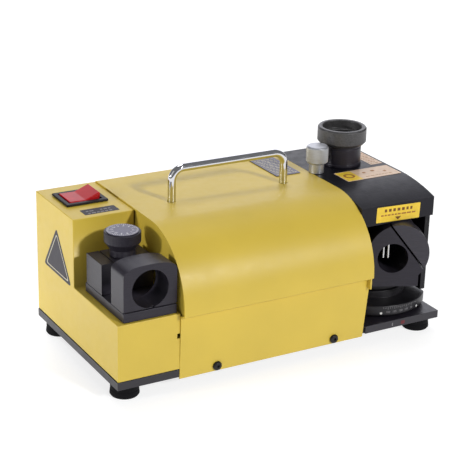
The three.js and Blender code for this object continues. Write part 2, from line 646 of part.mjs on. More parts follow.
function addMotor() {
  const axis = groupAt(machine, 0, MOTOR_Y, MOTOR_Z);
  axis.rotation.y = Math.PI / 2;
  const { left, right, radius, wall, shaft, nose } = MOTOR;
  const seat = 13.3;
  const ring = (inner, outer, from, to) => [[inner, from], [outer, from], [outer, to], [inner, to]];
  const tube = ring(radius - wall, radius, left + GAP, right);
  const leftCap = [
    [shaft + 1, left - 11], [radius, left - 11], [radius, left], [seat, left], [seat, left - 9],
    [shaft + 1, left - 9],
  ];
  const rightCap = [
    [seat, right + GAP], [radius, right + GAP], [radius, right + 10], [nose, right + 10],
    [nose, HEAD.left + 3], [shaft + 1, HEAD.left + 3], [shaft + 1, right + 9.5], [seat, right + 9.5],
  ];
  piece("motor_housing", turnedRing(tube, 24), metal(0x6a6a70, 0.5), axis);
  piece("motor_left_cap", turnedRing(leftCap, 24), aluminium(), axis);
  piece("motor_right_cap", turnedRing(rightCap, 24), aluminium(), axis);
  const leftBearing = ring(shaft + GAP, seat - GAP, left - 9 + GAP, left);
  const rightBearing = ring(shaft + GAP, seat - GAP, right + GAP, right + 9);
  piece("left_bearing", turnedRing(leftBearing, 20), brightSteel(), axis);
  piece("right_bearing", turnedRing(rightBearing, 20), brightSteel(), axis);

  const rotor = [
    [0, 62], [shaft, 62], [shaft, 100], [30, 100], [30, 174], [shaft, 174], [shaft, 180], [12, 180],
    [12, 192], [shaft, 192], [shaft, SHAFT_END], [0, SHAFT_END],
  ];
  piece("rotor_shaft", turned(rotor, 20), brightSteel(), axis);
  piece("cooling_fan", fanSolid(), blackPlastic(), axis);

  const slope = Math.tan(THREE.MathUtils.degToRad(WHEEL.bevel));
  const ridge = WHEEL.left + 4;
  const wheel = [
    [WHEEL.bore, WHEEL.left], [WHEEL.radius - 2.4, WHEEL.left], [WHEEL.radius, ridge],
    [WHEEL.radius - (WHEEL.right - ridge) * slope, WHEEL.right], [WHEEL.bore, WHEEL.right],
  ];
  piece("grinding_wheel", turnedRing(wheel), abrasive(), axis);
  const hub = WHEEL.bore - GAP;
  const flange = [
    [shaft + GAP, WHEEL.left - 6], [18, WHEEL.left - 6], [18, WHEEL.left - GAP], [hub, WHEEL.left - GAP],
    [hub, WHEEL.right], [shaft + GAP, WHEEL.right],
  ];
  piece("wheel_flange", turnedRing(flange, 20), brightSteel(), axis);
  const nutFace = WHEEL.right + GAP;
  const nut = [
    [shaft + GAP, nutFace], [14, nutFace], [14, nutFace + 3], [9, nutFace + 3], [9, nutFace + 7],
    [shaft + GAP, nutFace + 7],
  ];
  piece("wheel_nut", turnedRing(nut, 20), brightSteel(), axis);
}

function fanSolid() {
  const hub = turnedRing([[5.3, 63], [10, 63], [10, 75], [5.3, 75]], 24);
  const back = turnedRing([[9, 73], [36, 73], [36, 75], [9, 75]], 24);
  const blades = [];
  for (let i = 0; i < 8; i += 1) {
    blades.push(block(9.2, 35, -0.8, 0.8, 65, 74).rotateZ((i * Math.PI) / 4));
  }
  return joined(hub, back, ...blades);
}

function addMotorBrackets() {
  const reach = MOTOR.radius + GAP;
  const halfWidth = 32;
  const sweep = Math.asin(halfWidth / reach);
  [["left", 96], ["right", 176]].forEach(([side, x]) => {
    const saddle = new THREE.Shape();
    saddle.moveTo(MOTOR_Y - halfWidth - 4, PLATE_TOP + GAP);
    saddle.lineTo(MOTOR_Y + halfWidth + 4, PLATE_TOP + GAP);
    saddle.absarc(MOTOR_Y, MOTOR_Z, reach, -Math.PI / 2 + sweep, -Math.PI / 2 - sweep, true);
    piece(`motor_bracket_${side}`, alongX(saddle, x, x + 12, 24), blackPaint(), machine);
  });
}

// Electrics inside the switch box

function addElectrics() {
  const boardZ = 26;
  const posts = [[11, 94], [44, 94], [11, 150], [44, 150]].map(
    ([x, y]) => alongZ(disc(x, y, 2), PLATE_TOP + GAP, boardZ + 0.5, 12));
  const parts = [
    alongZ(disc(20, 105, 7), boardZ + 1, boardZ + 24, SMALL_SIDES),
    block(30, 42, 98, 122, boardZ + 1, boardZ + 13),
    block(12, 30, 124, 140, boardZ + 1, boardZ + 18),
  ];
  const board = block(8, 47, 90, 154, boardZ, boardZ + 1.6);
  piece("rectifier_board", joined(board, ...posts, ...parts), greenBoard(), machine);

  const terminals = block(10, 46, 54, 72, PLATE_TOP + GAP, 34);
  const wireHoles = [0, 1, 2, 3].map((i) => alongZ(disc(14.5 + i * 9, 63, 2.4), 26, 40, 12));
  piece("terminal_block", cut(terminals, ...wireHoles), blackPlastic(), machine);
}

function addNameplate() {
  const bottom = COVER_TOP + GAP;
  piece("nameplate", block(206, 231, 102, 153, bottom, bottom + 0.5), aluminium(), machine);
}

addFeet();
addBasePlate();
addMainCover();
coverEnd("cover_left_end", COVER_LEFT + SHEET, 120, 50, 8);
coverEnd("cover_right_end", COVER_RIGHT - 2 * SHEET, MOTOR_Y, MOTOR_Z, MOTOR.nose + 0.5);
addCoverScrews();
addSwitchBox();
addCordGland();
addSwitch();
addHandle();
addGaugeBlocks();
addGaugeKnob();
addGaugeStop();
addHeadHousing();
addSideCover();
addSwivel();
addTopPort();
addLockKnob();
addMotor();
addMotorBrackets();
addElectrics();
addNameplate();

// The origin: the middle of the machine's length and depth, on the floor. The cover bulges in front
// of the base plate, and the gland stands out behind it.
const FRONT_MOST = COVER_ARC.y - COVER_ARC.radius;
const BACK_MOST = DEPTH + GLAND.length;
machine.position.set(-(PLATE_LEFT + LENGTH) / 2, -(FRONT_MOST + BACK_MOST) / 2, 0);

export default machine;
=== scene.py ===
"""Looks for the bench drill bit sharpener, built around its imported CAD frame.

The frame is in metres. In this file, lengths in mm are measured from the switch box's left front
corner: X along the machine to the grinding head, Y from the front to the back, Z up from the floor.
"""

import json
import math
import random
from collections import namedtuple

import bmesh
import bpy
from mathutils import Matrix, Vector

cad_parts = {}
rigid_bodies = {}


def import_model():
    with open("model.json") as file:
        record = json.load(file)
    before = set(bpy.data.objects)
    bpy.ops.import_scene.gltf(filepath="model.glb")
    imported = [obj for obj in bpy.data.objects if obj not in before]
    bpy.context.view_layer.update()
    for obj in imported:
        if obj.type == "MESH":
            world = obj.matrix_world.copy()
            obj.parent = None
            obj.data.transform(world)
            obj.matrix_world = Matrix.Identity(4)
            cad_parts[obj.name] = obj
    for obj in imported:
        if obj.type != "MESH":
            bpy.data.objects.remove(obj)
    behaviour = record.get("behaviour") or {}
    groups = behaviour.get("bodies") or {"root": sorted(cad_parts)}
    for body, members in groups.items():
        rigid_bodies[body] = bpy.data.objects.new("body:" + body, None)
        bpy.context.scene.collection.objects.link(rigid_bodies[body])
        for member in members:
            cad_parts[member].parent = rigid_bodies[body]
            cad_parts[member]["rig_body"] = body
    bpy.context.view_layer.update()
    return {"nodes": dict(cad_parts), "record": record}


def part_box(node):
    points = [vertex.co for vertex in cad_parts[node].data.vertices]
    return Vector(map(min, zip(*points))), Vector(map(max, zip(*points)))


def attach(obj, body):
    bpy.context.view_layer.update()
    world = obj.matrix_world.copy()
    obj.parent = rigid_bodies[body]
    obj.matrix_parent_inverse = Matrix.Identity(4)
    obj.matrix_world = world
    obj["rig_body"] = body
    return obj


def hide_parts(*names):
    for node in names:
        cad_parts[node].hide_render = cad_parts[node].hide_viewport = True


MM = 0.001

for leftover in list(bpy.data.objects):
    bpy.data.objects.remove(leftover, do_unlink=True)
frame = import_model()
NODES = frame["nodes"]
SLOT_OF = {part["node"]: part["material_slot"] for part in frame["record"]["subparts"]}

BOX_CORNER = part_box("switch_box")[0]
ORIGIN = Vector((BOX_CORNER.x, BOX_CORNER.y, 0))


def at(x, y, z):
    """A point in mm from the switch box's corner, as a place in the frame."""
    return ORIGIN + Vector((x, y, z)) * MM


# Camera, lights and floor

CAMERA_PLACE = (-0.60559, -1.02987, 0.55766)
CAMERA_AZIMUTH = -30.32
CAMERA_ELEVATION = 21.46
CAMERA_ROLL = 1.60
CAMERA_LENS = 110.24
CAMERA_SENSOR = 36


def direction(azimuth, elevation):
    """The unit vector towards an azimuth, 0 being the front and 90 the right, and an elevation."""
    turn, rise = math.radians(azimuth), math.radians(elevation)
    return Vector((math.sin(turn) * math.cos(rise), -math.cos(turn) * math.cos(rise), math.sin(rise)))


def add_camera():
    data = bpy.data.cameras.new("camera")
    data.lens = CAMERA_LENS
    data.sensor_width = CAMERA_SENSOR
    data.clip_start = 0.05
    data.clip_end = 60
    camera = bpy.data.objects.new("camera", data)
    backwards = direction(CAMERA_AZIMUTH, CAMERA_ELEVATION)
    facing = backwards.to_track_quat("Z", "Y").to_matrix()
    rolled = facing @ Matrix.Rotation(math.radians(CAMERA_ROLL), 3, "Z")
    camera.matrix_world = Matrix.Translation(CAMERA_PLACE) @ rolled.to_4x4()
    bpy.context.scene.collection.objects.link(camera)
    bpy.context.scene.camera = camera


def stand_lamp(name, data, towards, place=(0, 0, 0)):
    """Adds a light that shines from the side that towards points to."""
    lamp = bpy.data.objects.new(name, data)
    lamp.location = place
    lamp.rotation_mode = "QUATERNION"
    lamp.rotation_quaternion = towards.to_track_quat("Z", "Y")
    bpy.context.scene.collection.objects.link(lamp)
    return lamp


def add_sun(name, azimuth, elevation, strength, spread):
    data = bpy.data.lights.new(name, "SUN")
    data.energy = strength * math.pi
    data.angle = math.radians(spread)
    stand_lamp(name, data, direction(azimuth, elevation))


def add_panel(name, azimuth, elevation, distance, width, height, radiance, color=(1, 1, 1)):
    """A flat soft light that faces the machine and is out of the camera's sight."""
    data = bpy.data.lights.new(name, "AREA")
    data.shape = "RECTANGLE"
    data.size = width
    data.size_y = height
    data.energy = radiance * math.pi * width * height
    data.color = color
    towards = direction(azimuth, elevation)
    lamp = stand_lamp(name, data, towards, towards * distance)
    lamp.visible_camera = False


def add_floor_light(name, place, target, cone, power):
    """A narrow light on one patch of the floor, which the faces on the machine's left reflect."""
    data = bpy.data.lights.new(name, "SPOT")
    data.energy = power
    data.spot_size = math.radians(cone)
    data.spot_blend = 0.6
    data.shadow_soft_size = 0.05
    stand_lamp(name, data, Vector(place) - Vector(target), place)


def add_studio():
    world = bpy.data.worlds.new("studio")
    world.use_nodes = True
    surroundings = world.node_tree.nodes["Background"]
    surroundings.inputs["Color"].default_value = (0.95, 0.97, 1, 1)
    surroundings.inputs["Strength"].default_value = 0.2
    bpy.context.scene.world = world
    bpy.context.scene.view_settings.view_transform = "Standard"
    add_sun("side_light", -97, 13, 0.42, 6)
    add_sun("front_light", 19, 29, 0.60, 6)
    add_sun("top_light", 160, 72, 0.26, 30)
    add_panel("back_panel", 150, 24, 1.9, 2.2, 1.2, 1.5, (0.92, 0.92, 1))
    add_panel("left_panel", -75, 30, 1.8, 1.0, 1.2, 0.5)
    add_floor_light("left_floor_light", (-0.62, 0.62, 0.9), (-0.36, 0.24, 0), 26, 80)


# Materials

# Most of a noise's values are between these, so a colour or number changes from one to the other
NOISE_LOW, NOISE_HIGH = 0.3, 0.7
# How deep the tool lines of a cut surface are, in mm
TOOL_LINE_DEPTH = 0.02


def node(tree, kind, inputs=(), **settings):
    """A shader node with its settings, and its inputs set or linked."""
    made = tree.nodes.new(kind)
    for name, value in settings.items():
        setattr(made, name, value)
    for name, value in dict(inputs).items():
        if isinstance(value, bpy.types.NodeSocket):
            tree.links.new(value, made.inputs[name])
        else:
            made.inputs[name].default_value = value
    return made


def start_material(name, color, roughness, metallic=0.0, **sockets):
    material = bpy.data.materials.new(name)
    material.use_nodes = True
    tree = material.node_tree
    shader = tree.nodes["Principled BSDF"]
    shader.inputs["Base Color"].default_value = (*color, 1)
    shader.inputs["Roughness"].default_value = roughness
    shader.inputs["Metallic"].default_value = metallic
    for socket, value in sockets.items():
        shader.inputs[socket.replace("_", " ")].default_value = value
    material.diffuse_color = (*color, 1)
    return material, tree, shader


def place_of(tree, stretch):
    """The surface point in metres, stretched so that noise on it draws out into lines."""
    coordinates = node(tree, "ShaderNodeTexCoord")
    inputs = {"Vector": coordinates.outputs["Object"], "Scale": stretch}
    return node(tree, "ShaderNodeMapping", inputs).outputs["Vector"]


def noise(tree, scale, detail=2.0, stretch=(1, 1, 1), roughness=0.5):
    inputs = {"Vector": place_of(tree, stretch), "Scale": scale, "Detail": detail, "Roughness": roughness}
    return node(tree, "ShaderNodeTexNoise", inputs).outputs["Fac"]


def between(tree, factor, low, high):
    """A number that goes from low to high as a noise goes from its low values to its high ones."""
    inputs = {"Value": factor, "From Min": NOISE_LOW, "From Max": NOISE_HIGH, "To Min": low, "To Max": high}
    return node(tree, "ShaderNodeMapRange", inputs).outputs["Result"]


def blended(tree, factor, low, high, start=NOISE_LOW, end=NOISE_HIGH):
    """A colour that goes from low to high as factor goes from start to end."""
    ramp = node(tree, "ShaderNodeValToRGB", {"Fac": factor})
    ramp.color_ramp.elements[0].position = start
    ramp.color_ramp.elements[0].color = (*low, 1)
    ramp.color_ramp.elements[1].position = end
    ramp.color_ramp.elements[1].color = (*high, 1)
    return ramp.outputs["Color"]


def add_height(tree, shader, height, depth_mm, strength):
    bump = node(tree, "ShaderNodeBump", {"Height": height, "Distance": depth_mm * MM, "Strength": strength})
    tree.links.new(bump.outputs["Normal"], shader.inputs["Normal"])


def shaded(color, factor):
    return tuple(channel * factor for channel in color)


def vary_color(tree, shader, color, factor, darkest, lightest, start=NOISE_LOW, end=NOISE_HIGH):
    """Makes the base colour go from a dark shade of it to a light one as factor goes up."""
    shades = blended(tree, factor, shaded(color, darkest), shaded(color, lightest), start, end)
    tree.links.new(shades, shader.inputs["Base Color"])


def powder_coat(name, color):
    """Satin powder coat: slight cloudiness, and the fine ripple called orange peel."""
    material, tree, shader = start_material(name, color, 0.42)
    vary_color(tree, shader, color, noise(tree, 22, 3), 0.96, 1.03)
    tree.links.new(between(tree, noise(tree, 160, 2), 0.38, 0.46), shader.inputs["Roughness"])
    add_height(tree, shader, noise(tree, 620, 2), 0.05, 0.5)
    return material


def enamel(name, color, grain_scale, grain_mm, shine):
    """Black enamel over metal. The grain is that of the casting or plate under it."""
    material, tree, shader = start_material(name, color, 0.36, Specular_IOR_Level=shine)
    vary_color(tree, shader, color, noise(tree, 35, 4), 0.8, 1.3)
    tree.links.new(between(tree, noise(tree, 120, 3), 0.31, 0.43), shader.inputs["Roughness"])
    add_height(tree, shader, noise(tree, grain_scale, 3), grain_mm, 0.6)
    return material


def machined(name, color, roughness, metallic, lines, spread=0.3, shine=0.5):
    """Cut metal whose fine tool lines run where the stretch in lines is smallest."""
    material, tree, shader = start_material(name, color, roughness, metallic, Specular_IOR_Level=shine)
    streaks = noise(tree, 1, 4, lines, 0.65)
    vary_color(tree, shader, color, streaks, 1 - spread, 1 + spread)
    tree.links.new(between(tree, streaks, roughness - 0.07, roughness + 0.09), shader.inputs["Roughness"])
    add_height(tree, shader, streaks, TOOL_LINE_DEPTH, 0.5)
    return material


def moulded(name, color, roughness, grain_scale=900, grain_mm=0.03, **sockets):
    """Moulded plastic or rubber with a fine surface grain."""
    material, tree, shader = start_material(name, color, roughness, **sockets)
    vary_color(tree, shader, color, noise(tree, 60, 3), 0.85, 1.2)
    add_height(tree, shader, noise(tree, grain_scale, 2), grain_mm, 0.5)
    return material


def plated(name, color):
    """Polished chrome plate with the faint waviness of the bar under it."""
    material, tree, shader = start_material(name, color, 0.07, 1.0)
    tree.links.new(between(tree, noise(tree, 180, 3), 0.05, 0.12), shader.inputs["Roughness"])
    add_height(tree, shader, noise(tree, 70, 2), 0.03, 0.35)
    return material


def printed(name, color, roughness=0.5, shine=0.3):
    """A label's film or ink, slightly uneven as printing is."""
    material, tree, shader = start_material(name, color, roughness, Specular_IOR_Level=shine)
    vary_color(tree, shader, color, noise(tree, 240, 3), 0.92, 1.06)
    return material


def abrasive_grit(name, color):
    material, tree, shader = start_material(name, color, 0.9)
    grains = noise(tree, 2600, 2, roughness=0.7)
    vary_color(tree, shader, color, grains, 0.45, 1.7, 0.4, 0.62)
    add_height(tree, shader, grains, 0.2, 1.0)
    return material


def board(name, color):
    """A green circuit board with lighter tracks under its lacquer."""
    material, tree, shader = start_material(name, color, 0.4)
    tracks = noise(tree, 1, 1, (140, 900, 200))
    vary_color(tree, shader, color, tracks, 1, 2.2, 0.55, 0.58)
    return material


YELLOW = (0.60, 0.435, 0.052)
BLACK = (0.007, 0.0065, 0.0105)
DARK = (0.023, 0.0205, 0.029)

MATERIALS = {
    "yellow_paint": powder_coat("yellow_paint", YELLOW),
    "black_paint": enamel("black_paint", BLACK, grain_scale=420, grain_mm=0.12, shine=0.22),
    "dark_steel": machined("dark_steel", DARK, 0.36, 0.15, (90, 90, 2600), shine=0.3),
    "bright_steel": machined("bright_steel", (0.62, 0.62, 0.63), 0.26, 1.0, (300, 300, 3000)),
    "chrome_plate": plated("chrome_plate", (0.68, 0.68, 0.70)),
    "aluminium": machined("aluminium", (0.50, 0.51, 0.54), 0.4, 0.85, (250, 250, 2600), spread=0.12),
    "rubber_feet": moulded(
        "rubber_feet", (0.005, 0.005, 0.006), 0.72, grain_scale=700, grain_mm=0.06, Specular_IOR_Level=0.1),
    "black_plastic": moulded("black_plastic", (0.012, 0.011, 0.014), 0.45, Specular_IOR_Level=0.2),
    "red_plastic": moulded(
        "red_plastic", (0.42, 0.006, 0.010), 0.28, grain_scale=300, grain_mm=0.01,
        Subsurface_Weight=0.06, Subsurface_Scale=0.002, Specular_IOR_Level=0.2),
    "circuit_board": board("circuit_board", (0.02, 0.12, 0.05)),
    "abrasive": abrasive_grit("abrasive", (0.20, 0.18, 0.15)),
}
BASE_PAINT = enamel("base_paint", (0.015, 0.013, 0.019), grain_scale=420, grain_mm=0.12, shine=0.5)
PORT_STEEL = machined("port_steel", (0.088, 0.086, 0.088), 0.40, 0.6, (500, 500, 900), spread=0.25)
CAP_STEEL = machined("cap_steel", (0.038, 0.035, 0.045), 0.38, 0.2, (90, 90, 2600), shine=0.4)
# The swivel dial's steel is this dark partly as painted shade: it keeps the dial's top, under the drum's
# overhang, black.
SWIVEL_STEEL = machined("swivel_steel", (0.018, 0.017, 0.020), 0.38, 0.2, (90, 90, 2600), shine=0.35)
DIAL_PLATE = machined("dial_plate", (0.13, 0.125, 0.17), 0.4, 0.5, (700, 700, 700), spread=0.35)
SCREW_STEEL = machined("screw_steel", (0.015, 0.014, 0.015), 0.35, 0.5, (900, 900, 900))
WHITE_INK = printed("white_ink", (0.78, 0.78, 0.76))
DARK_BROWN_INK = printed("dark_brown_ink", (0.17, 0.065, 0.012))
RED_INK = printed("red_ink", (0.13, 0.02, 0.025))
BROWN_INK = printed("brown_ink", (0.36, 0.15, 0.03))
AMBER_FILM = printed("amber_film", (0.80, 0.55, 0.045), 0.35)
CREAM_FILM = printed("cream_film", (0.68, 0.49, 0.34), 0.35)
GREY_FILM = printed("grey_film", (0.045, 0.042, 0.052), 0.45, 0.12)
PALE_INK = printed("pale_ink", (0.50, 0.47, 0.36))
DIM_INK = printed("dim_ink", (0.22, 0.21, 0.22))


# Outlines and profiles, in mm

# A corner flatter than this many degrees stays as it is
NEARLY_STRAIGHT = 172
# The most of a side that a corner's arc may take up
MOST_OF_SIDE = 0.45


def rounded(points, radius, steps=4, closed=True):
    """The line through the points with each corner turned into a small arc."""
    count = len(points)
    smooth = []
    for i, (x, y) in enumerate(points):
        corner = Vector((x, y))
        if not closed and i in (0, count - 1):
            smooth.append((x, y))
            continue
        before = Vector(points[i - 1]) - corner
        after = Vector(points[(i + 1) % count]) - corner
        bend = before.angle(after, math.pi)
        if bend > math.radians(NEARLY_STRAIGHT):
            smooth.append((x, y))
            continue
        reach = min(radius / math.tan(bend / 2), MOST_OF_SIDE * before.length, MOST_OF_SIDE * after.length)
        start, end = corner + before.normalized() * reach, corner + after.normalized() * reach
        for step in range(steps + 1):
            share = step / steps
            point = start.lerp(corner, share).lerp(corner.lerp(end, share), share)
            smooth.append((point.x, point.y))
    return smooth


def corners(left, right, bottom, top):
    return [(left, bottom), (right, bottom), (right, top), (left, top)]


def rectangle(width, height):
    return corners(-width / 2, width / 2, -height / 2, height / 2)


# Meshes


def plate(bm, outline, thickness, place, bottom=0.0):
    """Adds a closed plate: the outline in the place's own XY plane, standing up along its Z."""
    low = [bm.verts.new(place @ Vector((x, y, bottom))) for x, y in outline]
    high = [bm.verts.new(place @ Vector((x, y, bottom + thickness))) for x, y in outline]
    bm.faces.new(reversed(low))
    bm.faces.new(high)
    for i in range(len(low)):
        j = (i + 1) % len(low)
        bm.faces.new((low[i], low[j], high[j], high[i]))


# Flutes round a turned solid, in mm: the heights that they run between, the least radius that has
# them, and their depth and number
Knurl = namedtuple("Knurl", "bottom top least_radius depth flutes")


def revolved(bm, rings, place, sides, closed=False, knurl=None):
    """Adds a turned solid. rings are (radius, height) on the place's Z axis, and a radius may be a
    function of the angle. A closed one's last ring joins its first."""

    def radius_at(radius, height, angle):
        size = radius(angle) if callable(radius) else radius
        if knurl and knurl.bottom <= height <= knurl.top and size >= knurl.least_radius:
            size -= knurl.depth * (0.5 - 0.5 * math.cos(knurl.flutes * angle))
        return size

    rows = []
    for radius, height in rings:
        if radius == 0:
            rows.append([bm.verts.new(place @ Vector((0, 0, height)))])
            continue
        row = []
        for i in range(sides):
            angle = 2 * math.pi * i / sides
            size = radius_at(radius, height, angle)
            point = Vector((size * math.cos(angle), size * math.sin(angle), height))
            row.append(bm.verts.new(place @ point))
        rows.append(row)
    if closed:
        rows.append(rows[0])
    for low, high in zip(rows, rows[1:]):
        for i in range(sides):
            j = i + 1
            around = (low[i % len(low)], low[j % len(low)], high[j % len(high)], high[i % len(high)])
            bm.faces.new(dict.fromkeys(around))


def hexagon(across):
    """The radius of a hexagon, by its width across flats, at each angle."""
    def radius(angle):
        return across / 2 / math.cos((angle + math.pi / 6) % (math.pi / 3) - math.pi / 6)
    return radius


def lettering(bm, text, height, thickness, place, bend=None):
    """Adds closed raised figures, centred on the place. bend is the radius they are wrapped round."""
    font = bpy.data.curves.new("figures", "FONT")
    font.body = text
    font.size = height
    font.extrude = thickness / 2
    font.align_x = "CENTER"
    font.align_y = "CENTER"
    font.resolution_u = 3
    holder = bpy.data.objects.new("figures", font)
    bpy.context.scene.collection.objects.link(holder)
    evaluated = holder.evaluated_get(bpy.context.evaluated_depsgraph_get())
    mesh = bpy.data.meshes.new_from_object(evaluated)
    for vertex in mesh.vertices:
        x, y, z = vertex.co.x, vertex.co.y, vertex.co.z + thickness / 2
        if bend:
            angle = x / bend
            x, z = (bend + z) * math.sin(angle), (bend + z) * math.cos(angle) - bend
        vertex.co = place @ Vector((x, y, z))
    fresh = bmesh.new()
    fresh.from_mesh(mesh)
    bmesh.ops.remove_doubles(fresh, verts=fresh.verts, dist=1e-7)
    fresh.to_mesh(mesh)
    fresh.free()
    bm.from_mesh(mesh)
    bpy.data.objects.remove(holder)
    bpy.data.meshes.remove(mesh)


def seat(point, right, up):
    """The place, in mm, of a flat face: its own X is right, its Y is up and its Z faces out."""
    right, up = Vector(right).normalized(), Vector(up).normalized()
    turned = Matrix((right, up, right.cross(up))).transposed()
    return Matrix.Translation(point) @ turned.to_4x4() @ Matrix.Scale(MM, 4)


def upright(node_name):
    """The place of a vertical axis through the middle of a CAD node, with its Z from the node's foot."""
    low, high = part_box(node_name)
    middle = (low + high) / 2
    return seat((middle.x, middle.y, low.z), (1, 0, 0), (0, 1, 0))


def height_of(node_name):
    """How tall a CAD node is, in mm."""
    low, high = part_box(node_name)
    return (high.z - low.z) / MM


def top_of(node_name):
    """How high a CAD node's highest point is, in mm."""
    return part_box(node_name)[1].z / MM


# Points of a CAD node that are no further apart than this are one point, in metres
SAME_POINT = 2e-6
# Faces that meet at less than this many degrees are one flat face
SAME_FACE = 0.6


def traced(node_name):
    """A CAD node's shape with its flat faces whole again."""
    bm = bmesh.new()
    bm.from_mesh(NODES[node_name].data)
    bmesh.ops.remove_doubles(bm, verts=bm.verts, dist=SAME_POINT)
    bmesh.ops.dissolve_limit(
        bm, angle_limit=math.radians(SAME_FACE), use_dissolve_boundaries=False, verts=bm.verts,
        edges=bm.edges)
    return bm


def sharp_edges(bm, least=28):
    """The edges whose two faces turn by more than a number of degrees."""
    limit = math.radians(least)
    return [edge for edge in bm.edges if len(edge.link_faces) == 2 and edge.calc_face_angle(0) > limit]


def along_axis(edge, axis):
    """Whether an edge runs along X, Y or Z, given as 0, 1 or 2."""
    run = edge.verts[1].co - edge.verts[0].co
    return abs(run[axis]) > 0.999 * run.length


def soften(bm, edges, width, segments=3):
    """Rounds the edges by a width in mm."""
    bmesh.ops.bevel(
        bm, geom=edges, offset=width * MM, offset_type="OFFSET", segments=segments, profile=0.5,
        affect="EDGES", clamp_overlap=True)


def finished(bm, name, material, body, smooth=True):
    """The mesh as an object that rides on a body, with soft shading that keeps flat faces flat."""
    bmesh.ops.recalc_face_normals(bm, faces=bm.faces)
    mesh = bpy.data.meshes.new(name)
    bm.to_mesh(mesh)
    bm.free()
    mesh.materials.append(material)
    piece = bpy.data.objects.new(name, mesh)
    bpy.context.scene.collection.objects.link(piece)
    if smooth:
        mesh.polygons.foreach_set("use_smooth", [True] * len(mesh.polygons))
        mesh.set_sharp_from_angle(angle=math.radians(50))
        weighted = piece.modifiers.new("even_shading", "WEIGHTED_NORMAL")
        weighted.keep_sharp = True
        weighted.weight = 80
    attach(piece, body)
    return piece


def stand_in(bm, node_name, material=None):
    """The mesh as the piece that stands for a CAD node, on its body, in the material given or else in its
    slot's material.
    """
    body = NODES[node_name]["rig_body"]
    slot = SLOT_OF[node_name]
    piece = finished(bm, f"{node_name}_look", material or MATERIALS[slot], body)
    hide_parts(node_name)


def mark(bm, name, material, body):
    """Print, a film or a painted mark on a surface."""
    finished(bm, name, material, body, smooth=False)


# Stand: base plate and feet


def build_base():
    """The base plate, with two painted marks on its front edge below the drill port."""
    bm = traced("base_plate")
    soften(bm, sharp_edges(bm), 0.5)
    stand_in(bm, "base_plate", BASE_PAINT)
    mark_z = 15.6
    for x, width, material, name in (
            (281, 4.2, RED_INK, "index_mark_red"), (269.6, 0.9, DIM_INK, "index_mark_pale")):
        bm = bmesh.new()
        outline = rounded(rectangle(width, 3.2), 0.4)
        plate(bm, outline, 0.12, seat(at(x, 0, mark_z), (1, 0, 0), (0, 0, 1)), -0.04)
        mark(bm, name, material, "machine")


def build_feet():
    for where in ("front_left", "front_right", "rear_left", "rear_right"):
        profile = rounded([
            (5.8, 0), (11.4, 0), (12.5, 1.6), (12.1, 5.2), (11.7, 5.6), (11.7, 6.4), (12.0, 6.8),
            (11.9, 12), (2.4, 12), (2.4, 5), (5.8, 5),
        ], 0.5, 3)
        bm = bmesh.new()
        revolved(bm, profile, upright(f"foot_{where}"), 72, closed=True)
        stand_in(bm, f"foot_{where}")


# Sheet metal: main cover, its ends and the switch box

# How far the switch box's open end comes towards the cover, which leaves only a fine seam, in mm
SEAM_CLOSED = 0.22
# Edges of the switch box at least this long are bends of the sheet, in mm
SHORTEST_BEND = 30


def build_sheet_metal():
    bm = traced("main_cover")
    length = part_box("main_cover")[1].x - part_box("main_cover")[0].x
    folds = [
        edge for edge in sharp_edges(bm, 20)
        if along_axis(edge, 0) and edge.calc_length() > length / 2]
    soften(bm, folds, 0.9, 4)
    soften(bm, sharp_edges(bm, 40), 0.3, 2)
    stand_in(bm, "main_cover")

    bm = traced("switch_box")
    open_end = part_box("switch_box")[1].x - MM
    for vertex in bm.verts:
        if vertex.co.x > open_end:
            vertex.co.x += SEAM_CLOSED * MM
    bends = [
        edge for edge in sharp_edges(bm)
        if edge.calc_length() > SHORTEST_BEND * MM and edge.is_convex
        and min(vertex.co.x for vertex in edge.verts) < open_end]
    soften(bm, bends, 0.7, 4)
    stand_in(bm, "switch_box")


def socket_screw(node_name, place, radius, height, shank, depth):
    """A button head screw with a hexagon socket. The place is on the face that the head bears on."""
    top = rounded([
        (radius, 0.35), (radius, height * 0.56), (radius * 0.82, height), (radius * 0.4, height),
    ], 0.4, 3, closed=False)
    socket = [
        (hexagon(radius * 0.65), height), (hexagon(radius * 0.63), height * 0.4),
        (radius * 0.15, height * 0.27), (0, height * 0.25),
    ]
    bm = bmesh.new()
    revolved(bm, [(0, -depth), (shank, -depth), (shank, 0.35), *top[:-1], *socket], place, 72)
    stand_in(bm, node_name, SCREW_STEEL)


def build_cover_screws():
    height = 2.3
    for face, side_x in (("front", 1), ("rear", -1)):
        for side in ("left", "right"):
            name = f"cover_screw_{face}_{side}"
            low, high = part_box(name)
            middle = (low + high) / 2
            sheet_y = low.y + height * MM if face == "front" else high.y - height * MM
            place = seat((middle.x, sheet_y, middle.z), (side_x, 0, 0), (0, 0, 1))
            socket_screw(name, place, radius=4, height=height, shank=1.7, depth=9)


def build_side_cover_screws():
    height = 1.9
    for number in (1, 2, 3):
        name = f"side_cover_screw_{number}"
        low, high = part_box(name)
        middle = (low + high) / 2
        place = seat((high.x - height * MM, middle.y, middle.z), (0, 1, 0), (0, 0, 1))
        socket_screw(name, place, radius=2.9, height=height, shank=1.5, depth=6)


def build_cord_gland():
    """A hexagon flange on the back wall with a ribbed, rounded clamp nut on it."""
    low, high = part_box("cord_gland")
    middle = (low + high) / 2
    length = 13
    place = seat((middle.x, high.y - length * MM, middle.z), (-1, 0, 0), (0, 0, 1))
    nut = rounded([(9.3, 6.2), (9.3, 10), (8.2, 12.2), (6.6, length), (4, length)], 0.6, 3, closed=False)
    flange = [(8, 0.3), (hexagon(18), 0.3), (hexagon(18), 5.4), (8.6, 5.8), (8.6, 6.2)]
    ribs = Knurl(bottom=6.2, top=10.2, least_radius=9, depth=0.5, flutes=20)
    bm = bmesh.new()
    revolved(bm, [(4, -8), (8, -8), *flange, *nut], place, 240, closed=True, knurl=ribs)
    stand_in(bm, "cord_gland")


# Switch


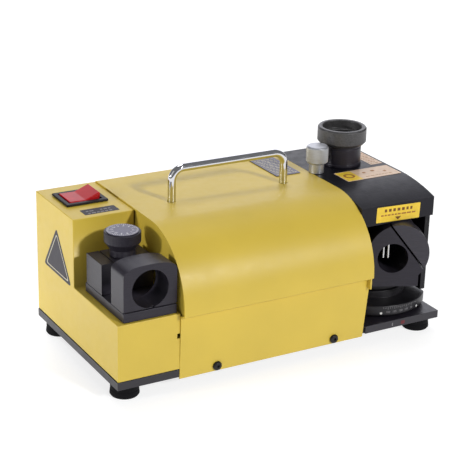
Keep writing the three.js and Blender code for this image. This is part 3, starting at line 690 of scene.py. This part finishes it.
def build_switch():
    bm = traced("switch_body")
    soften(bm, [edge for edge in sharp_edges(bm) if edge.is_convex], 0.5)
    stand_in(bm, "switch_body")
    bm = traced("switch_rocker")
    soften(bm, sharp_edges(bm, 15), 0.8, 4)
    stand_in(bm, "switch_rocker")


# Carrying handle


def build_handle():
    """A round bar, bent at each end of its grip into a leg."""
    low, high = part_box("carry_handle")
    radius = (high.y - low.y) / 2
    middle_y = (low.y + high.y) / 2
    left, right = low.x + radius, high.x - radius
    top = high.z - radius
    bend = 10.5 * MM
    steps = 16
    path = [Vector((left, middle_y, low.z))]
    for centre_x, start in ((left + bend, math.pi), (right - bend, math.pi / 2)):
        for step in range(steps + 1):
            angle = start - step / steps * math.pi / 2
            path.append(Vector((
                centre_x + bend * math.cos(angle), middle_y, top - bend + bend * math.sin(angle))))
    path.append(Vector((right, middle_y, low.z)))

    sides = 40
    backwards = Vector((0, 1, 0))
    bm = bmesh.new()
    rows = []
    for i, point in enumerate(path):
        run = (path[min(i + 1, len(path) - 1)] - path[max(i - 1, 0)]).normalized()
        outwards = run.cross(backwards)
        row = []
        for side in range(sides):
            angle = 2 * math.pi * side / sides
            spoke = math.cos(angle) * outwards + math.sin(angle) * backwards
            row.append(bm.verts.new(point + radius * spoke))
        rows.append(row)
    for first, second in zip(rows, rows[1:]):
        for i in range(sides):
            j = (i + 1) % sides
            bm.faces.new((first[i], first[j], second[j], second[i]))
    bm.faces.new(rows[0])
    bm.faces.new(reversed(rows[-1]))
    stand_in(bm, "carry_handle")


# Setting gauge


def build_gauge():
    for name, width in (("gauge_base", 0.4), ("gauge_front_block", 0.5), ("gauge_rear_block", 0.5)):
        bm = traced(name)
        soften(bm, sharp_edges(bm), width)
        stand_in(bm, name)


def build_gauge_knob():
    """The knurled knob. Its closed profile stops just short of the axis, where it can't close."""
    axis = 0.01
    outside = rounded([
        (3.8, 0), (10.8, 0), (10.8, 5.9), (15.2, 11.9), (15.4, 12.1), (15.4, 20.6), (axis, 20.6),
    ], 0.7, 4, closed=False)
    spindle_hole = [(axis, 9), (3.8, 9)]
    knurl = Knurl(bottom=12.3, top=20, least_radius=15.1, depth=0.35, flutes=72)
    bm = bmesh.new()
    revolved(bm, outside + spindle_hole, upright("gauge_knob"), 360, closed=True, knurl=knurl)
    stand_in(bm, "gauge_knob")
    build_gauge_dial()


def build_gauge_dial():
    """The knob's plate with drill sizes in mm round it."""
    place = upright("gauge_dial_plate")
    radius = 13.6
    thickness = height_of("gauge_dial_plate")
    bm = bmesh.new()
    revolved(bm, [(0, 0), (radius, 0), (radius, thickness), (0, thickness)], place, 120)
    stand_in(bm, "gauge_dial_plate", DIAL_PLATE)

    def spoke(degrees, from_axis):
        turn = Matrix.Rotation(math.radians(degrees), 4, "Z")
        return place @ turn @ Matrix.Translation((0, from_axis, thickness - 0.05))

    divisions = 48
    sizes = range(2, 14)
    scale_radius, figure_radius = 13.1, 8.7
    bm = bmesh.new()
    for i in range(divisions):
        length = 2.6 if i % 4 == 0 else 1.5
        plate(bm, rectangle(0.32, length), 0.06, spoke(i * 360 / divisions, scale_radius - length / 2))
    for i, size in enumerate(sizes):
        lettering(bm, str(size), 3.0, 0.06, spoke(-i * 360 / len(sizes), figure_radius))
    mark(bm, "gauge_dial_figures", WHITE_INK, "gauge_dial")


# Grinding head

# The drill port swivels about an upright axis at this X and Y, in mm
SWIVEL_AXIS = (282, 53)
DIAL_RADIUS = 48.45
# The drill's point angle that the port is set for at rest, in degrees
REST_POINT_ANGLE = 118


def build_head():
    bm = traced("head_housing")
    shortest = 4 * MM
    outer = [edge for edge in sharp_edges(bm) if edge.is_convex and edge.calc_length() > shortest]
    soften(bm, outer, 0.8)
    stand_in(bm, "head_housing")
    bm = traced("head_side_cover")
    soften(bm, sharp_edges(bm), 0.4)
    stand_in(bm, "head_side_cover")


def build_swivel():
    for name, width, material in (
            ("swivel_dial", 0.5, SWIVEL_STEEL), ("swivel_drum", 0.5, None), ("drum_cap", 0.5, CAP_STEEL)):
        bm = traced(name)
        soften(bm, sharp_edges(bm), width)
        stand_in(bm, name, material)
    for name in ("index_pin_1", "index_pin_2"):
        length = height_of(name)
        bm = bmesh.new()
        revolved(bm, [(0, 0), (0.65, 0), (1.05, 0.6), (1.05, length), (0, length)], upright(name), 32)
        stand_in(bm, name)
    build_swivel_scale()


def on_rim(degrees, z):
    """The place of a mark on the swivel dial's rim, at an angle from the front of the machine."""
    angle = math.radians(degrees)
    outwards = Vector((math.sin(angle), -math.cos(angle), 0))
    axis = at(SWIVEL_AXIS[0], SWIVEL_AXIS[1], z)
    return seat(axis + outwards * DIAL_RADIUS * MM, (math.cos(angle), math.sin(angle), 0), (0, 0, 1))


def turn_for(point_angle):
    """Where the dial carries a drill's point angle, which is twice the angle the wheel meets it at."""
    return (REST_POINT_ANGLE - point_angle) / 2


def build_swivel_scale():
    """Point angles in degrees round the rim, divisions of 5 above them and a dot at each end."""
    figure_z, division_top, dot_z = 25.2, 29.9, 24.2
    bm = bmesh.new()
    for figure in (90, 105, 120, 135, 150):
        lettering(bm, str(figure), 2.8, 0.1, on_rim(turn_for(figure), figure_z), DIAL_RADIUS)
    mark(bm, "swivel_figures", DIM_INK, "drill_port")
    bm = bmesh.new()
    for angle in range(75, 165, 5):
        length = 2.2 if angle % 15 == 0 else 1.4
        place = on_rim(turn_for(angle), division_top - length / 2)
        plate(bm, rectangle(0.3, length), 0.1, place, -0.03)
    mark(bm, "swivel_divisions", DIM_INK, "drill_port")
    bm = bmesh.new()
    for degrees in (-23.5, 23.5):
        plate(bm, rounded(rectangle(2.2, 2.2), 1.0), 0.15, on_rim(degrees, dot_z), -0.05)
    mark(bm, "swivel_dots", WHITE_INK, "drill_port")


def build_port():
    collar = rounded([
        (15.2, 0), (18.8, 0), (18.8, 2.2), (18.3, 2.7), (18.3, 16.7), (17.8, 17.1), (17.8, 19.7),
        (15.2, 19.7),
    ], 0.35, 3)
    bm = bmesh.new()
    revolved(bm, collar, upright("port_collar"), 120, closed=True)
    stand_in(bm, "port_collar")

    ring = rounded([
        (15.7, 0), (20.6, 0), (22.5, 2.2), (22.5, 14), (21.4, 15.3), (18.8, 15.3), (18, 14.5),
        (18, 7.7), (15.7, 6.7),
    ], 0.4, 3)
    knurl = Knurl(bottom=2.3, top=13.7, least_radius=22.2, depth=0.22, flutes=96)
    bm = bmesh.new()
    revolved(bm, ring, upright("port_ring"), 480, closed=True, knurl=knurl)
    stand_in(bm, "port_ring", PORT_STEEL)


def build_lock_knob():
    height = height_of("lock_knob")
    shank = [(0, 0), (3, 0)]
    head = rounded([
        (3, 3.8), (6.8, 3.8), (6.8, 13), (8.6, 13), (10, 14.5), (10, 27.5), (8.6, height),
        (0.01, height),
    ], 0.35, 3, closed=False)
    knurl = Knurl(bottom=14.4, top=27.6, least_radius=9.8, depth=0.3, flutes=64)
    bm = bmesh.new()
    revolved(bm, [*shank, *head[:-1], (0, height)], upright("lock_knob"), 384, knurl=knurl)
    stand_in(bm, "lock_knob")


# Labels: films with plain bars where print would be. A film's underside is a little inside the metal,
# so that no gap shows.

FILM_TOP = 0.1
FILM_BOTTOM = -0.05
FILM_THICKNESS = FILM_TOP - FILM_BOTTOM
INK_THICKNESS = 0.05
HEAD_TOP = top_of("head_housing")
BOX_TOP = top_of("switch_box")
# How far the front of the head, over the drill port, is behind the switch box's front, in mm
NOSE_FRONT = 16


def film(name, place, outline, material):
    bm = bmesh.new()
    plate(bm, rounded(outline, 1.0), FILM_THICKNESS, place, FILM_BOTTOM)
    mark(bm, name, material, "machine")


def bars(bm, place, rows, seed, height, word=(2.0, 5.0)):
    """Adds rows of short bars. A row is (left end, right end, middle height), and word is the least
    and the greatest length of a bar."""
    draw = random.Random(seed)
    for left, right, middle in rows:
        x = left
        while x < right - word[0]:
            length = min(draw.uniform(*word), right - x)
            bar = corners(x, x + length, middle - height / 2, middle + height / 2)
            plate(bm, bar, INK_THICKNESS, place, FILM_TOP)
            x += length + height * 0.7


def build_nose_label():
    """The amber label over the drill port, a little askew, with an arrow to the port."""
    tilt = Matrix.Rotation(math.radians(-2.2), 4, "Z")
    place = seat(at(279.6, NOSE_FRONT, 114.8), (1, 0, 0), (0, 0, 1)) @ tilt
    film("nose_label", place, rectangle(46.5, 14.2), AMBER_FILM)
    bm = bmesh.new()
    bars(bm, place, [(-15, 16, 3.4)], 3, 2.7, (2.2, 3.4))
    arrow = [(0, -6.2), (3.4, -3.2), (-3.4, -3.2)]
    plate(bm, arrow, INK_THICKNESS, place, FILM_TOP)
    mark(bm, "nose_label_print", DARK_BROWN_INK, "machine")
    bm = bmesh.new()
    bars(bm, place, [(-18.5, 18.5, -0.9)], 4, 1.4)
    mark(bm, "nose_label_line", BROWN_INK, "machine")


def build_top_labels():
    """Two labels on the head's top: one behind the curve, and one behind it along the right edge."""
    place = seat(at(286.5, 75.3, HEAD_TOP), (1, 0, 0), (0, 1, 0))
    film("top_label", place, rectangle(58, 24.5), CREAM_FILM)
    bm = bmesh.new()
    amber = corners(-28.2, -12.5, -11.4, 11.4)
    plate(bm, rounded(amber, 0.8), INK_THICKNESS, place, FILM_TOP)
    mark(bm, "top_label_square", AMBER_FILM, "machine")
    bm = bmesh.new()
    ring = [(5.4, 0), (5.4, INK_THICKNESS), (3.2, INK_THICKNESS), (3.2, 0)]
    over_amber = Matrix.Translation((-20.2, 0, FILM_TOP + INK_THICKNESS))
    revolved(bm, ring, place @ over_amber, 48, closed=True)
    mark(bm, "top_label_ring", BROWN_INK, "machine")
    bm = bmesh.new()
    bars(bm, place, [(-4, -1, 2.5), (6, 10, 4), (17, 19.5, -0.5)], 5, 3.2, (2.4, 4))
    bars(bm, place, [(-7, 22, -7.5)], 6, 0.9)
    mark(bm, "top_label_print", BROWN_INK, "machine")

    edge_place = seat(at(309.5, 113, HEAD_TOP), (1, 0, 0), (0, 1, 0))
    film("edge_label", edge_place, rectangle(13, 38), CREAM_FILM)
    bm = bmesh.new()
    bars(bm, edge_place, [(-5, 5, y) for y in range(-16, 17, 4)], 7, 1.1, (1.5, 3.5))
    mark(bm, "edge_label_print", BROWN_INK, "machine")


def build_switch_label():
    place = seat(at(29.6, 97.3, BOX_TOP), (1, 0, 0), (0, 1, 0))
    film("switch_label", place, rectangle(31.5, 12.4), GREY_FILM)
    bm = bmesh.new()
    bars(bm, place, [(-12, -3, 1.2), (1, 12, 1.2), (-12, 12, -3.6)], 8, 1.6, (1.8, 3.6))
    mark(bm, "switch_label_print", DIM_INK, "machine")


def build_side_label():
    """A plain dark triangle with a pale line round it, on the switch box's left face."""
    place = seat(at(0, 120, 85), (0, -1, 0), (0, 0, 1))
    points = [Vector((-0.5, 26)), Vector((-29, -15.9)), Vector((29.2, -16.8))]
    middle = sum(points, Vector((0, 0))) / 3

    def scaled(share):
        return rounded([tuple(middle.lerp(point, share)) for point in points], 2.5 * share)

    def ring_corner(point, z):
        return bm.verts.new(place @ Vector((*point, z)))

    bm = bmesh.new()
    plate(bm, scaled(1.0), FILM_THICKNESS, place, FILM_BOTTOM)
    mark(bm, "side_label", GREY_FILM, "machine")
    bm = bmesh.new()
    outer, inner = scaled(0.83), scaled(0.77)
    for i in range(len(outer)):
        j = (i + 1) % len(outer)
        around = (outer[i], outer[j], inner[j], inner[i])
        low = [ring_corner(point, FILM_TOP - 0.01) for point in around]
        high = [ring_corner(point, FILM_TOP + INK_THICKNESS) for point in around]
        bm.faces.new(reversed(low))
        bm.faces.new(high)
        for k in range(4):
            bm.faces.new((low[k], low[(k + 1) % 4], high[(k + 1) % 4], high[k]))
    bmesh.ops.remove_doubles(bm, verts=bm.verts, dist=1e-6)
    mark(bm, "side_label_line", PALE_INK, "machine")


def build_nameplate():
    bm = traced("nameplate")
    soften(bm, sharp_edges(bm), 0.1)
    stand_in(bm, "nameplate", DIAL_PLATE)
    low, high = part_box("nameplate")
    middle = (low + high) / 2
    place = seat((middle.x, middle.y, high.z), (1, 0, 0), (0, 1, 0))
    bm = bmesh.new()
    bars(bm, place, [(-10.5, 10.5, y) for y in range(-22, 23, 4)], 9, 1.5, (1.5, 5))
    mark(bm, "nameplate_print", PALE_INK, "machine")


# CAD nodes that no other piece stands for, and the floor


def finish_cad_nodes():
    """Gives every CAD node its own slot's material."""
    for name, cad_node in NODES.items():
        for material_slot in cad_node.material_slots:
            material_slot.material = MATERIALS[SLOT_OF[name]]


def add_floor():
    bm = bmesh.new()
    bmesh.ops.create_grid(bm, x_segments=8, y_segments=8, size=12)
    mesh = bpy.data.meshes.new("floor")
    bm.to_mesh(mesh)
    bm.free()
    material, tree, shader = start_material("floor_card", (0.36, 0.36, 0.36), 0.9)
    shader.inputs["Emission Color"].default_value = (1, 1, 1, 1)
    shader.inputs["Emission Strength"].default_value = 0.75
    tree.links.new(
        blended(tree, noise(tree, 3, 2), (0.355, 0.355, 0.355), (0.365, 0.365, 0.365)),
        shader.inputs["Base Color"])
    mesh.materials.append(material)
    floor = bpy.data.objects.new("floor", mesh)
    bpy.context.scene.collection.objects.link(floor)


add_camera()
add_studio()
add_floor()
finish_cad_nodes()
build_base()
build_feet()
build_sheet_metal()
build_cover_screws()
build_side_cover_screws()
build_cord_gland()
build_switch()
build_handle()
build_gauge()
build_gauge_knob()
build_head()
build_swivel()
build_port()
build_lock_knob()
build_nose_label()
build_top_labels()
build_switch_label()
build_side_label()
build_nameplate()
